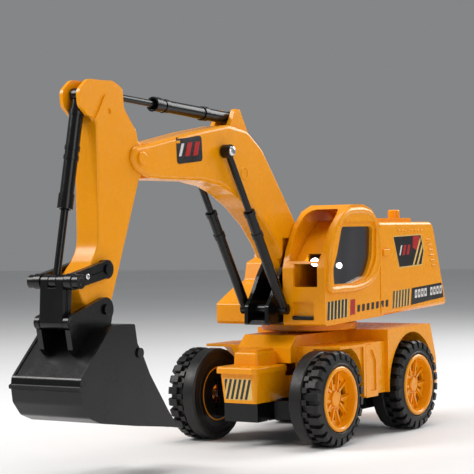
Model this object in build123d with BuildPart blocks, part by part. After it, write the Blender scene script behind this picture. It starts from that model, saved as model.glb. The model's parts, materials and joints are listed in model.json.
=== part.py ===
from build123d import *
import os
from math import atan2, cos, degrees, hypot, pi, radians, sin

# Toy remote-control wheeled excavator, built as separate pieces that come apart on a bench.
#
# Millimetres, +Z up, ground at z = 0, the nose points to -Y and the cab is on the +X side.
# Side outlines are lists of (distance behind the front axle, height); plan outlines are lists of
# (x, distance behind the front axle).


# ---------------------------------------------------------------- driving dimensions
FRONT_AXLE_Y = 18.75       # the front axle's place along Y, so that the whole toy is centred on Y = 0
WHEELBASE = 98.0
TYRE_R = 28.0
TYRE_W = 20.0
WHEEL_OUTER_X = 53.0       # outer face of the tyres
CHASSIS_HALF_W = 48.0
HOUSE_HALF_W = 40.0
CAB_INNER_X = 10.3         # the cab's wall beside the boom
WALL = 1.8                 # wall of the moulded shells
SLEW_Y = 52.5              # turntable centre behind the front axle
DECK_Z = 57.6
PLATFORM_Z = 64.0
HOUSE_Z = 70.0
STEER_ARM = 13.0           # kingpin to tie rod
KINGPIN_X = 29.0

# pivots of the arm: (distance behind the front axle, height)
BOOM_FOOT = (24.0, 110.0)
LIFT_FOOT = (1.5, 80.0)
LIFT_HEAD = (-55.5, 172.5)
STICK_PIVOT = (-131.6, 166.4)
STICK_CYL_FOOT = (-34.0, 193.0)
STICK_CYL_HEAD = (-150.0, 199.5)
BUCKET_CYL_FOOT = (-171.0, 198.0)
ROCKER_PIVOT = (-164.0, 108.5)
BUCKET_PIVOT = (-165.5, 88.0)
ROCKER_REACH = (-27.5, -5.5)
CROSS_PIN = (ROCKER_PIVOT[0] + ROCKER_REACH[0], ROCKER_PIVOT[1] + ROCKER_REACH[1])
LINK_PIN = (BUCKET_PIVOT[0] + ROCKER_REACH[0], BUCKET_PIVOT[1] + ROCKER_REACH[1])

LIFT_X = 13.4              # the boom cylinders' centre planes
BOOM_HALF_W = 9.8
FORK_HALF_GAP = 7.7
STICK_HALF_W = 7.4
HEAD_HALF_W = 6.5
BUCKET_HALF_W = 22.5
PIN_PLAY = 0.05            # radial clearance of every pin that turns

SIDE = Plane(origin=(0, FRONT_AXLE_Y, 0), x_dir=(0, 1, 0), z_dir=(1, 0, 0))
PLAN = Plane(origin=(0, FRONT_AXLE_Y, 0))

os.makedirs("parts", exist_ok=True)


def save(piece, label):
    piece.label = label
    export_step(piece, f"parts/{label}.step")


# ---------------------------------------------------------------- shared shapes
def side_prism(points, x0, x1, radius=0, mode=Mode.ADD):
    """Prism from x0 to x1 on a closed side outline."""
    with BuildSketch(SIDE.offset(x0)) as outline:
        with BuildLine():
            if radius:
                FilletPolyline(*points, radius=radius, close=True)
            else:
                Polyline(*points, close=True)
        make_face()
    extrude(outline.sketch, amount=x1 - x0, mode=mode)


def plan_prism(points, z0, z1, radius=0, mode=Mode.ADD):
    """Prism from z0 to z1 on a closed plan outline."""
    with BuildSketch(PLAN.offset(z0)) as outline:
        with BuildLine():
            if radius:
                FilletPolyline(*points, radius=radius, close=True)
            else:
                Polyline(*points, close=True)
        make_face()
    extrude(outline.sketch, amount=z1 - z0, mode=mode)


def block(x, y, z, mode=Mode.ADD):
    """Box between the low and high values of x, y (behind the front axle) and z."""
    centre = (sum(x) / 2, FRONT_AXLE_Y + sum(y) / 2, sum(z) / 2)
    with Locations(centre):
        Box(x[1] - x[0], y[1] - y[0], z[1] - z[0], mode=mode)


def cross_rod(at, x0, x1, radius, mode=Mode.ADD):
    """Cylinder along X from x0 to x1 at a side point."""
    with BuildSketch(SIDE.offset(x0)) as disc:
        with Locations(at):
            Circle(radius)
    extrude(disc.sketch, amount=x1 - x0, mode=mode)


def upright(x, y, z0, z1, radius, mode=Mode.ADD):
    """Cylinder along Z."""
    with BuildSketch(PLAN.offset(z0)) as disc:
        with Locations((x, y)):
            Circle(radius)
    extrude(disc.sketch, amount=z1 - z0, mode=mode)


def strap(a, b, x0, x1, ra, rb, mode=Mode.ADD):
    """Flat bar from x0 to x1 with a round end of radius ra about a and rb about b."""
    run = atan2(b[1] - a[1], b[0] - a[0])
    turn = pi / 2 + atan2(rb - ra, hypot(b[0] - a[0], b[1] - a[1]))
    corners = [
        (a[0] + ra * cos(run + turn), a[1] + ra * sin(run + turn)),
        (b[0] + rb * cos(run + turn), b[1] + rb * sin(run + turn)),
        (b[0] + rb * cos(run - turn), b[1] + rb * sin(run - turn)),
        (a[0] + ra * cos(run - turn), a[1] + ra * sin(run - turn)),
    ]
    side_prism(corners, x0, x1, mode=mode)
    cross_rod(a, x0, x1, ra, mode=mode)
    cross_rod(b, x0, x1, rb, mode=mode)


def axis_plane(a, b, x, along=0.0):
    """Plane at the side point a (centre plane x) moved along towards b, with its normal towards b."""
    length = hypot(b[0] - a[0], b[1] - a[1])
    uy, uz = (b[0] - a[0]) / length, (b[1] - a[1]) / length
    origin = (x, FRONT_AXLE_Y + a[0] + uy * along, a[1] + uz * along)
    return Plane(origin=origin, x_dir=(1, 0, 0), z_dir=(0, uy, uz))


def barrel(a, b, x, start, end, radius, mode=Mode.ADD):
    """Cylinder on the line from a to b in the plane x, between two distances from a."""
    with BuildSketch(axis_plane(a, b, x, start)) as disc:
        Circle(radius)
    extrude(disc.sketch, amount=end - start, mode=mode)


# ---------------------------------------------------------------- wheels
AXLE_Z = TYRE_R
REAR_AXLE = (WHEELBASE, AXLE_Z)
FRONT_AXLE = (0.0, AXLE_Z)
AXLE_R = 2.0
TREAD_R = 26.0
LUGS = 24
LUG_LENGTH = 5.2
HUB_OUT_X = WHEEL_OUTER_X - 3.4    # outer face of the closed hub
AXLE_END_X = WHEEL_OUTER_X - 5.0   # the axles end inside it
RIM_R = 17.3
LIP_R = 19.1
WHEEL_INNER_X = WHEEL_OUTER_X - TYRE_W

# one wheel is drawn about the X axis, as it sits on the +X side
with BuildPart() as tyre:
    with BuildSketch(Plane.YZ.offset(WHEEL_INNER_X)):
        RegularPolygon(TREAD_R, LUGS)
        Circle(RIM_R + PIN_PLAY, mode=Mode.SUBTRACT)
    extrude(amount=TYRE_W)
    chamfer(tyre.faces().sort_by(Axis.X)[0].outer_wire().edges(), 1.2)
    with BuildSketch(Plane.YZ.offset(WHEEL_OUTER_X - 2.0)):
        Circle(LIP_R + PIN_PLAY)
    extrude(amount=3.0, mode=Mode.SUBTRACT)
    for row, x in enumerate((WHEEL_OUTER_X - TYRE_W / 2 + 0.2, WHEEL_OUTER_X - TYRE_W / 4 + 0.1)):
        for i in range(LUGS):
            angle = 360 / LUGS * (i + row / 2)
            with Locations(Location((x, 0, 0), (angle, 0, 0))):
                with Locations((TYRE_W / 8, 0, (TYRE_R + TREAD_R - 2.0) / 2)):
                    Box(TYRE_W / 4 - 0.2, LUG_LENGTH, TYRE_R - TREAD_R + 2.0)

WINDOWS = 5
with BuildPart() as rim:
    # barrel, open on the inner side, with a lip round the outer edge
    with BuildSketch(Plane.XY) as profile:
        with BuildLine():
            Polyline(
                (WHEEL_INNER_X + 1.0, RIM_R), (WHEEL_OUTER_X - 1.9, RIM_R), (WHEEL_OUTER_X - 1.9, LIP_R),
                (WHEEL_OUTER_X - 0.3, LIP_R), (WHEEL_OUTER_X + 0.4, LIP_R - 0.8), (WHEEL_OUTER_X + 0.4, LIP_R - 1.9),
                (WHEEL_OUTER_X - 0.4, LIP_R - 2.6), (WHEEL_OUTER_X - 6.0, RIM_R - 1.7), (WHEEL_INNER_X + 1.0, RIM_R - 1.6),
                close=True,
            )
        make_face()
    revolve(axis=Axis.X)
    # dished web with its windows
    with BuildSketch(Plane.YZ.offset(WHEEL_OUTER_X - 7.5)) as web:
        Circle(RIM_R - 1.0)
        for i in range(WINDOWS):
            for half_turn, r0, r1, spread in ((0.0, 8.6, 14.6, 11.0), (0.5, 7.4, 12.6, 4.5)):
                mid = 90 + 360 / WINDOWS * (i + half_turn)
                low, high = radians(mid - spread), radians(mid + spread)
                with BuildLine():
                    Polyline(
                        (r0 * cos(low), r0 * sin(low)),
                        (r1 * cos(low), r1 * sin(low)),
                        (r1 * cos(high), r1 * sin(high)),
                        (r0 * cos(high), r0 * sin(high)),
                        close=True,
                    )
                make_face(mode=Mode.SUBTRACT)
    extrude(amount=2.4)
    # raised ribs beside each large window
    for i in range(WINDOWS):
        for lean in (-1, 1):
            mid = radians(90 + 360 / WINDOWS * i + lean * 17)
            inner, outer = radians(90 + 360 / WINDOWS * i + lean * 26), mid
            start = Vector(WHEEL_OUTER_X - 5.2, 6.0 * cos(inner), 6.0 * sin(inner))
            end = Vector(WHEEL_OUTER_X - 5.2, 15.9 * cos(outer), 15.9 * sin(outer))
            middle = (start + end) / 2
            span = end - start
            with Locations(Location((middle.X, middle.Y, middle.Z), (degrees(atan2(span.Z, span.Y)), 0, 0))):
                Box(2.4, span.length, 1.5)
    # hub
    with BuildSketch(Plane.YZ.offset(WHEEL_OUTER_X - 10.0)):
        Circle(4.6)
    extrude(amount=6.6)
    hub_face = rim.faces().filter_by(Plane.YZ).filter_by(lambda f: abs(f.center().X - HUB_OUT_X) < 0.01)
    fillet(hub_face.edges(), 0.8)
    with BuildSketch(Plane.YZ.offset(WHEEL_OUTER_X - 12.0)):
        Circle(AXLE_R + PIN_PLAY)
    extrude(amount=7.2, mode=Mode.SUBTRACT)

for side, turn in (("left", 0), ("right", 180)):
    for end, axle in (("front", FRONT_AXLE), ("rear", REAR_AXLE)):
        place = Location((0, FRONT_AXLE_Y + axle[0], axle[1]), (0, 0, turn))
        save(place * tyre.part, f"{end}_{side}_tyre")
        save(place * rim.part, f"{end}_{side}_rim")

# ---------------------------------------------------------------- rear drive
MOTOR_AXIS = (REAR_AXLE[0] + 11.5, REAR_AXLE[1] + 5.1)
MOTOR_X = (-15.0, 5.8)
GEARBOX_X = (6.6, 14.0)
BUSH_X = (16.0, 19.0)
BUSH_R = 3.6

with BuildPart() as rear_axle:
    cross_rod(REAR_AXLE, -AXLE_END_X, AXLE_END_X, AXLE_R)
    chamfer(rear_axle.edges().filter_by(GeomType.CIRCLE), 0.4)
save(rear_axle.part, "rear_axle")

with BuildPart() as gearbox_case:
    side_prism([(90.0, 17.0), (119.0, 17.0), (121.0, 30.0), (118.5, 40.0), (108.0, 43.0), (93.0, 38.5)], *GEARBOX_X,
               radius=[0, 0, 3, 4, 4, 4])
    fillet(gearbox_case.edges().filter_by(Axis.X, reverse=True).filter_by(lambda e: e.center().Z > 18), 0.8)
    cross_rod(REAR_AXLE, GEARBOX_X[0] - 1, GEARBOX_X[1] + 1, AXLE_R + 0.3, mode=Mode.SUBTRACT)
save(gearbox_case.part, "gearbox_case")

with BuildPart() as drive_motor:
    cross_rod(MOTOR_AXIS, *MOTOR_X, 8.0)
    block((MOTOR_X[0] - 1, MOTOR_X[1] + 1), (MOTOR_AXIS[0] - 9, MOTOR_AXIS[0] + 9),
          (MOTOR_AXIS[1] + 6.0, MOTOR_AXIS[1] + 12), mode=Mode.SUBTRACT)
    block((MOTOR_X[0] - 1, MOTOR_X[1] + 1), (MOTOR_AXIS[0] - 9, MOTOR_AXIS[0] + 9),
          (MOTOR_AXIS[1] - 12, MOTOR_AXIS[1] - 6.0), mode=Mode.SUBTRACT)
    cross_rod(MOTOR_AXIS, MOTOR_X[1], GEARBOX_X[0], 3.0)
save(drive_motor.part, "drive_motor")

with BuildPart() as axle_bushes:
    for side in (-1, 1):
        x0, x1 = sorted((side * BUSH_X[0], side * BUSH_X[1]))
        cross_rod(REAR_AXLE, x0, x1, BUSH_R)
        cross_rod(REAR_AXLE, x0 - 1, x1 + 1, AXLE_R + PIN_PLAY, mode=Mode.SUBTRACT)
save(axle_bushes.part, "axle_bushes")

# ---------------------------------------------------------------- lower tray
TRAY_Z = (15.0, 17.0)
RIM_Z = 26.0               # where the tray meets the cover
CELL_R, CELL_L = 7.2, 49.6
CELL_Y = (38.3, 88.1)
CELL_X = [CELL_R * 2.02 * k for k in (-1.5, -0.5, 0.5, 1.5)]
CELL_Z = 24.6
TRAY_HALF_W = 31.6
TRAY_SCREWS = [(-9.0, -15.0), (9.0, -15.0), (-26.0, 110.0), (26.0, 110.0)]

with BuildPart() as chassis_tray:
    # nose, waist and tail of the tray
    plan_prism([(-11.6, -26.5), (11.6, -26.5), (11.6, -8.0), (22, -5.5), (22, 34.5), (TRAY_HALF_W, 34.5),
                (TRAY_HALF_W, 128), (-TRAY_HALF_W, 128), (-TRAY_HALF_W, 34.5), (-22, 34.5), (-22, -5.5),
                (-11.6, -8.0)], TRAY_Z[0], RIM_Z)
    plan_prism([(-10, -24.9), (10, -24.9), (10, 36.1), (TRAY_HALF_W - 1.6, 36.1), (TRAY_HALF_W - 1.6, 126.4),
                (-TRAY_HALF_W + 1.6, 126.4), (-TRAY_HALF_W + 1.6, 36.1), (-10, 36.1)],
               TRAY_Z[1], RIM_Z + 1, mode=Mode.SUBTRACT)
    # room for the tie rod and the steering crank
    block((-40, 40), (-4.6, 33), (TRAY_Z[1], 30), mode=Mode.SUBTRACT)
    # battery opening
    block((-30.0, 30.0), (CELL_Y[0] - 1.2, CELL_Y[1] + 1.2), (10, TRAY_Z[1] + 0.2), mode=Mode.SUBTRACT)
    # front beam: lower lug, web and upper lug for each kingpin
    for side in (-1, 1):
        block(sorted((side * 21.0, side * 33.0)), (-4.6, 4.6), (TRAY_Z[0], 20.2))
        block(sorted((side * 21.0, side * 24.4)), (-4.6, 4.6), (TRAY_Z[0], 38.8))
        block(sorted((side * 21.0, side * 33.0)), (-4.6, 4.6), (35.8, 38.8))
        upright(side * KINGPIN_X, 0, 17.0, 45, AXLE_R + PIN_PLAY, mode=Mode.SUBTRACT)
    # gearbox plates that carry the bushes
    for side in (-1, 1):
        block(sorted((side * BUSH_X[0], side * BUSH_X[1])), (91.5, 104.5), (TRAY_Z[1], 34))
        cross_rod(REAR_AXLE, min(side * BUSH_X[0], side * BUSH_X[1]) - 1,
                  max(side * BUSH_X[0], side * BUSH_X[1]) + 1, BUSH_R, mode=Mode.SUBTRACT)
        # the axle leaves through the side walls
        block(sorted((side * 28, side * 34)), (WHEELBASE - 3, WHEELBASE + 3), (24.5, 30), mode=Mode.SUBTRACT)
    # motor cradle
    block((-12, 2), (MOTOR_AXIS[0] - 5.0, MOTOR_AXIS[0] + 5.0), (TRAY_Z[1], MOTOR_AXIS[1] - 6.1))
    # switch slot
    block((-5.5, 5.5), (117.4, 122.6), (10, 20), mode=Mode.SUBTRACT)
    # sunk seats of the tray's screws
    for x, y in TRAY_SCREWS:
        upright(x, y, TRAY_Z[0] - 0.5, TRAY_Z[0] + 1.4, 2.7, mode=Mode.SUBTRACT)
save(chassis_tray.part, "chassis_tray")

with BuildPart() as battery_door:
    block((-29.8, 29.8), (CELL_Y[0] - 1.0, CELL_Y[1] + 1.0), (TRAY_Z[0], TRAY_Z[1] - 0.2))
    for k in range(6):
        block((-20, 20), (CELL_Y[0] + 3 + 2.4 * k, CELL_Y[0] + 4.2 + 2.4 * k), (TRAY_Z[0] - 0.5, TRAY_Z[0]))
save(battery_door.part, "battery_door")

with BuildPart() as battery_cells:
    for k, x in enumerate(CELL_X):
        tip = 1 if k % 2 else -1
        mid_y = FRONT_AXLE_Y + sum(CELL_Y) / 2
        with Locations(Location((x, mid_y - tip * 0.75, CELL_Z), (90, 0, 0))):
            Cylinder(CELL_R, CELL_L - 1.5)
        with Locations(Location((x, mid_y + tip * (CELL_L / 2 - 0.75), CELL_Z), (90, 0, 0))):
            Cylinder(2.7, 1.5)
save(battery_cells.part, "battery_cells")

with BuildPart() as battery_contacts:
    for end_y in (CELL_Y[0] - 0.5, CELL_Y[1] + 0.1):
        for pair in (-1, 1):
            block(sorted((pair * 1.5, pair * 27.5)), (end_y, end_y + 0.4), (19.5, 29.5))
save(battery_contacts.part, "battery_contacts")

with BuildPart() as power_switch:
    block((-2.2, 2.2), (117.8, 122.2), (13.6, 17.2))
    block((-3.9, 3.9), (115.4, 124.6), (17.2, 18.6))
    fillet(power_switch.faces().sort_by(Axis.Z)[0].edges(), 0.5)
save(power_switch.part, "power_switch")

# ---------------------------------------------------------------- steering
for side in (-1, 1):
    label = "left" if side > 0 else "right"
    with BuildPart() as knuckle:
        block(sorted((side * 26.0, side * 32.0)), (-3.8, 3.8), (20.6, 35.4))
        upright(side * KINGPIN_X, 0, 17.2, 38.6, AXLE_R)
        block(sorted((side * 27.2, side * 30.8)), (3.0, STEER_ARM), (20.6, 23.0))
        upright(side * KINGPIN_X, STEER_ARM, 20.6, 23.0, 2.6)
        upright(side * KINGPIN_X, STEER_ARM, 20, 24, 1.2 + PIN_PLAY, mode=Mode.SUBTRACT)
        cross_rod(FRONT_AXLE, min(0, side * 40), max(0, side * 40), AXLE_R + 0.01, mode=Mode.SUBTRACT)
    save(knuckle.part, f"{label}_knuckle")

    with BuildPart() as stub:
        cross_rod(FRONT_AXLE, *sorted((side * 26.2, side * AXLE_END_X)), AXLE_R)
        chamfer(stub.edges().filter_by(GeomType.CIRCLE), 0.4)
    save(stub.part, f"{label}_stub_axle")

with BuildPart() as tie_rod:
    block((-31.5, 31.5), (STEER_ARM - 1.6, STEER_ARM + 1.6), (17.4, 20.3))
    upright(0, STEER_ARM, 17.4, 20.3, 3.0)
    for side in (-1, 1):
        upright(side * KINGPIN_X, STEER_ARM, 20.3, 23.6, 1.2)
    upright(0, STEER_ARM, 17, 21, 1.2 + PIN_PLAY, mode=Mode.SUBTRACT)
save(tie_rod.part, "tie_rod")

with BuildPart() as steering_crank:
    plan_prism([(-4.0, -3.4), (-10.5, 8.5), (-8.0, 15.2), (8.0, 15.2), (10.5, 8.5), (4.0, -3.4)], 20.6, 24.0, 2.0)
    upright(0, STEER_ARM, 17.7, 20.6, 1.2)
    upright(0, 0, 24.0, 30.0, 1.5)
save(steering_crank.part, "steering_crank")

with BuildPart() as steering_motor:
    block((-8, 8), (-9, 9), (25.0, 43.4))
    fillet(steering_motor.edges().filter_by(Axis.Z), 2.0)
    upright(0, 0, 24.4, 25.0, 3.2)
    upright(0, 0, 24.0, 30.4, 1.5 + PIN_PLAY, mode=Mode.SUBTRACT)
save(steering_motor.part, "steering_motor")

# ---------------------------------------------------------------- chassis cover
REAR_END = 124.5
ARCH_X = 25.6              # inner wall of the front wheel arches
REAR_ARCH_X = 32.0

with BuildPart() as chassis_cover:
    # nose: tapered box, thick lip and a raised step with its panel
    with BuildSketch(PLAN.offset(RIM_Z)) as nose:
        with Locations((0, -9.0)):
            RectangleRounded(23.0, 38.0, 2.0)
    extrude(nose.sketch, amount=18.0, taper=-6.5)
    with BuildSketch(PLAN.offset(43.6)) as lip:
        with Locations((0, -11.0)):
            RectangleRounded(28.6, 42.6, 3.0)
    extrude(lip.sketch, amount=3.9)
    fillet(chassis_cover.faces().sort_by(Axis.Z)[-1].edges(), 1.4)
    with BuildSketch(PLAN.offset(46.0)) as step:
        with Locations((0, -6.0)):
            RectangleRounded(17.4, 31.0, 2.0)
    extrude(step.sketch, amount=9.6, taper=3)
    fillet(chassis_cover.faces().sort_by(Axis.Z)[-1].edges(), 1.6)
    with BuildSketch(PLAN.offset(54.0)) as panel:
        with Locations((0, -5.0)):
            RectangleRounded(11.4, 24.0, 2.4)
    extrude(panel.sketch, amount=2.8)
    # deck with side walls, platform and rear block
    side_prism([(8.0, RIM_Z), (8.0, DECK_Z), (70, DECK_Z), (70, RIM_Z)], -45.6, 45.6)
    side_prism([(8.0, 40), (8.0, DECK_Z), (38.5, DECK_Z), (38.5, RIM_Z), (30, RIM_Z)],
               -CHASSIS_HALF_W, CHASSIS_HALF_W)
    side_prism([(0.0, 48), (0.0, DECK_Z - 0.5), (6.8, PLATFORM_Z), (80, PLATFORM_Z), (80, 48)], -18.5, 18.5)
    side_prism([(66.8, RIM_Z), (66.8, 64.6), (REAR_END, 65.2), (132.2, 43), (132.8, RIM_Z)],
               -CHASSIS_HALF_W, CHASSIS_HALF_W)
    # side steps between the wheels
    for side in (-1, 1):
        side_prism([(40, RIM_Z - 1.2), (54.5, RIM_Z - 1.2), (54.5, 47.0), (49.0, 56.6), (40, 56.6)],
                   *sorted((side * 40, side * 47.4)))
        side_prism([(44.5, 28.5), (52.5, 28.5), (52.5, 46.5), (48.0, 53.5), (44.5, 53.5)],
                   *sorted((side * 46.4, side * 48.4)), mode=Mode.SUBTRACT)
    # wheel arches
    for side in (-1, 1):
        side_prism([(-20, 10), (-20, 56.1), (36.0, 56.1), (36.0, 10)],
                   *sorted((side * ARCH_X, side * 60)), radius=0.01, mode=Mode.SUBTRACT)
        with BuildSketch(SIDE.offset(min(side * REAR_ARCH_X, side * 60))) as arch:
            with Locations((99.0, 28.0)):
                Ellipse(30.6, 33.4)
                with Locations((0, -15)):
                    Rectangle(61.2, 30)
        extrude(arch.sketch, amount=abs(60 - REAR_ARCH_X), mode=Mode.SUBTRACT)
        # the front arch's rear corner is rounded, and a curved gusset carries the overhang
        with BuildSketch(SIDE.offset(min(side * ARCH_X, side * 46.8))) as corner:
            with BuildLine():
                Line((22, 56.1), (36.0, 56.1))
                Line((36.0, 56.1), (36.0, 38.0))
                ThreePointArc((36.0, 38.0), (32.0, 49.2), (22, 56.1))
            make_face()
        extrude(corner.sketch, amount=46.8 - ARCH_X)
        front = Plane(origin=(0, FRONT_AXLE_Y + 8.0, 0), x_dir=(1, 0, 0), z_dir=(0, -1, 0)).offset(-2.4)
        with BuildSketch(front) as gusset:
            with BuildLine():
                Line((side * ARCH_X, 56.6), (side * 30.4, 56.6))
                ThreePointArc((side * 30.4, 56.6), (side * 27.4, 52.6), (side * ARCH_X, 44.5))
                Line((side * ARCH_X, 44.5), (side * ARCH_X, 56.6))
            make_face()
        extrude(gusset.sketch, amount=2.4)
    # hollow inside
    with BuildSketch(PLAN.offset(RIM_Z - 2)) as hollow_nose:
        with Locations((0, -6.5)):
            Rectangle(18.8, 38.0)
    extrude(hollow_nose.sketch, amount=19.6, taper=-6, mode=Mode.SUBTRACT)
    block((-7.0, 7.0), (-18, 10), (40, 53.6), mode=Mode.SUBTRACT)
    block((-ARCH_X + WALL, ARCH_X - WALL), (9.8, 37.8), (20, DECK_Z - WALL), mode=Mode.SUBTRACT)
    block((-30.2, 30.2), (37.8, 68.6), (20, DECK_Z - WALL), mode=Mode.SUBTRACT)
    for side in (-1, 1):
        block(sorted((side * 30.0, side * 43.8)), (38.0, 65.0), (20, DECK_Z - WALL), mode=Mode.SUBTRACT)
    side_prism([(2.2, 50), (7.6, PLATFORM_Z - WALL), (80, PLATFORM_Z - WALL), (80, 40), (2.2, 40)], -16.7, 16.7,
               mode=Mode.SUBTRACT)
    side_prism([(60, 20), (60, 55.8), (68.6, 55.8), (68.6, 62.4), (123.4, 62.8), (130.2, 42.6), (130.8, 20)],
               -30.2, 30.2, mode=Mode.SUBTRACT)
    # the tray's front beam passes under the nose, the axle leaves at the sides
    block((-14.5, 14.5), (-5.2, 16.0), (20, 26.9), mode=Mode.SUBTRACT)
    for side in (-1, 1):
        block(sorted((side * 29, side * 33)), (WHEELBASE - 3, WHEELBASE + 3), (20, 31.5), mode=Mode.SUBTRACT)
    # bearing hole for the turntable's spigot
    upright(0, SLEW_Y, 50, 80, 6.0, mode=Mode.SUBTRACT)
save(chassis_cover.part, "chassis_cover")

with BuildPart() as tray_screws:
    for x, y in TRAY_SCREWS:
        upright(x, y, TRAY_Z[0] + 0.2, TRAY_Z[0] + 1.4, 2.4)
save(tray_screws.part, "tray_screws")

# ---------------------------------------------------------------- turntable
with BuildPart() as turntable:
    upright(0, SLEW_Y, PLATFORM_Z + 1.2, HOUSE_Z - 0.3, 30.0)
    fillet(turntable.edges().filter_by(GeomType.CIRCLE), 0.9)
    upright(0, SLEW_Y, PLATFORM_Z - 2.6, PLATFORM_Z + 2, 5.9)
    upright(0, SLEW_Y, 50, 80, 1.5, mode=Mode.SUBTRACT)
save(turntable.part, "turntable")

with BuildPart() as centre_screw:
    upright(0, SLEW_Y, 57.6, 59.8, 3.4)
    upright(0, SLEW_Y, 59.8, 61.2, 9.0)
    upright(0, SLEW_Y, 61.2, 69.0, 1.5)
save(centre_screw.part, "centre_screw")

# ---------------------------------------------------------------- house
HOUSE_REAR = 166.0
CAB_OUTLINE = [(5.8, 70.0), (78, 72.6), (78, 112), (75.5, 124), (71.5, 132.5), (64.5, 139.4), (54, 142.3),
               (40, 142.3), (29, 138.4), (18, 128.6), (9.6, 115), (5.8, 104)]
CAB_INSIDE = [(7.6, 60.0), (78, 60.0), (78, 112), (73.7, 123.4), (69.8, 131.6), (63.5, 137.8), (53.6, 140.5),
              (40.4, 140.5), (30, 136.8), (19.4, 127.4), (11.3, 114.3), (7.6, 103.5)]
DECK_OUTLINE = [(8.4, 70.1), (76, 72.5), (76, 128), (56, 119), (52, 110), (43, 107.4), (40, 96), (31, 93.8),
                (8.4, 82.6)]
ENGINE_OUTLINE = [(74, 72.5), (HOUSE_REAR, 76.0), (147.6, 131.4), (74, 131.4)]
ENGINE_INSIDE = [(72, 60.0), (HOUSE_REAR - 2.4, 60.0), (HOUSE_REAR - 2.4, 77.0), (146.2, 129.6), (72, 129.6)]
CAB_OUT_X = HOUSE_HALF_W - 0.4

with BuildPart() as house_shell:
    # outer volumes: cab, right-hand deck, engine cover, wall behind the boom
    side_prism(CAB_OUTLINE, CAB_INNER_X, CAB_OUT_X, radius=[1.5, 0, 0, 4, 4, 4, 5, 5, 5, 5, 5, 4])
    side_prism(DECK_OUTLINE, -HOUSE_HALF_W, -11.0, radius=[2.5, 0, 0, 2, 2, 2, 2, 2, 2])
    side_prism(ENGINE_OUTLINE, -HOUSE_HALF_W, HOUSE_HALF_W, radius=[0, 2, 7, 0])
    side_prism([(47, 71.6), (76, 72.6), (76, 131), (66, 131)], -12.0, CAB_INNER_X + 1)
    long_edges = house_shell.edges().filter_by(lambda e: abs(abs(e.center().X) - HOUSE_HALF_W) < 0.01)
    fillet(long_edges.filter_by(lambda e: e.center().Z > 80 and e.center().Y > FRONT_AXLE_Y + 90), 2.4)
    # raised cover with the exhaust stub
    block((12, 32), (76.5, 131), (130, 134.0))
    upright(22, 126, 130, 139.6, 3.9)
    rings = house_shell.edges().filter_by(GeomType.CIRCLE)
    fillet(rings.filter_by(lambda e: abs(e.center().Z - 139.6) < 0.01), 1.0)
    # hollow inside
    side_prism(CAB_INSIDE, CAB_INNER_X + WALL, CAB_OUT_X - WALL, mode=Mode.SUBTRACT)
    side_prism([(10.2, 60), (76, 60), (76, 126), (57.6, 117.6), (53.4, 108.6), (44.4, 105.8), (41.4, 94.6),
                (31.4, 92), (10.2, 81.6)], -HOUSE_HALF_W + WALL, -11.0 - WALL, mode=Mode.SUBTRACT)
    side_prism(ENGINE_INSIDE, -HOUSE_HALF_W + WALL, HOUSE_HALF_W - WALL, mode=Mode.SUBTRACT)
    side_prism([(49, 60), (76, 60), (76, 129.6), (67.6, 129.6)], -13.0, CAB_INNER_X + 2, mode=Mode.SUBTRACT)
    # windscreen and lower front window
    ahead = Plane(origin=(0, FRONT_AXLE_Y - 5, 0), x_dir=(-1, 0, 0), z_dir=(0, 1, 0))
    with BuildSketch(ahead) as front_windows:
        with BuildLine():
            FilletPolyline((-36.2, 108.4), (-36.2, 139.6), (-13.8, 139.6), (-13.4, 108.4),
                           radius=[0.8, 3, 6, 0.8], close=True)
        make_face()
        with Locations((-26.0, 100.0)):
            RectangleRounded(16.8, 13.8, 0.8)
    extrude(front_windows.sketch, amount=45, mode=Mode.SUBTRACT)
    # rear slot of the cab above the engine cover
    block((14.5, 35.5), (62, 80), (134.6, 138.6), mode=Mode.SUBTRACT)
    # recessed front panel under the window
    block((17.0, 31.5), (4, 7.2), (73.4, 84.0), mode=Mode.SUBTRACT)
    # thick door arch standing proud of the side
    with BuildSketch(SIDE.offset(HOUSE_HALF_W - 2.2)) as arch:
        with BuildLine():
            FilletPolyline((8.6, 90), (8.6, 110), (17.6, 126.0), (29.0, 136.0), (41, 140.0), (54, 140.0), (64, 136.8),
                           (70.6, 129.4), (74.2, 117), (72.4, 104), (60.0, 94.0), (42.0, 89.6),
                           radius=[1, 8, 6, 6, 6, 5, 5, 5, 8, 8, 8, 1], close=True)
        make_face()
    extrude(arch.sketch, amount=3.4)
    fillet(house_shell.faces().sort_by(Axis.X)[-1].edges().filter_by(lambda e: e.center().Z > 91), 1.0)
    side_prism([(13.4, 80), (13.4, 104), (16.8, 112.0), (25.0, 131.6), (64.2, 131.8), (67.2, 128), (66.4, 108.0),
                (57.0, 97.2), (38.0, 93.4), (38.0, 80)], HOUSE_HALF_W, HOUSE_HALF_W + 3,
               radius=[0, 5, 12, 4, 2, 3, 12, 14, 0, 0], mode=Mode.SUBTRACT)
    # door window
    side_prism([(16.2, 94.2), (37.0, 94.4), (56.0, 98.4), (62.6, 110.0), (64.2, 128.8), (26.4, 128.8),
                (20, 112), (15.0, 103.6)], HOUSE_HALF_W - 8, HOUSE_HALF_W + 3, radius=[1, 12, 13, 10, 2.4, 3, 10, 4],
               mode=Mode.SUBTRACT)
    # notch that lets the boom pass and the bracket in
    block((-11.0, CAB_INNER_X), (0, 47), (60, 160), mode=Mode.SUBTRACT)
save(house_shell.part, "house_shell")

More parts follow.
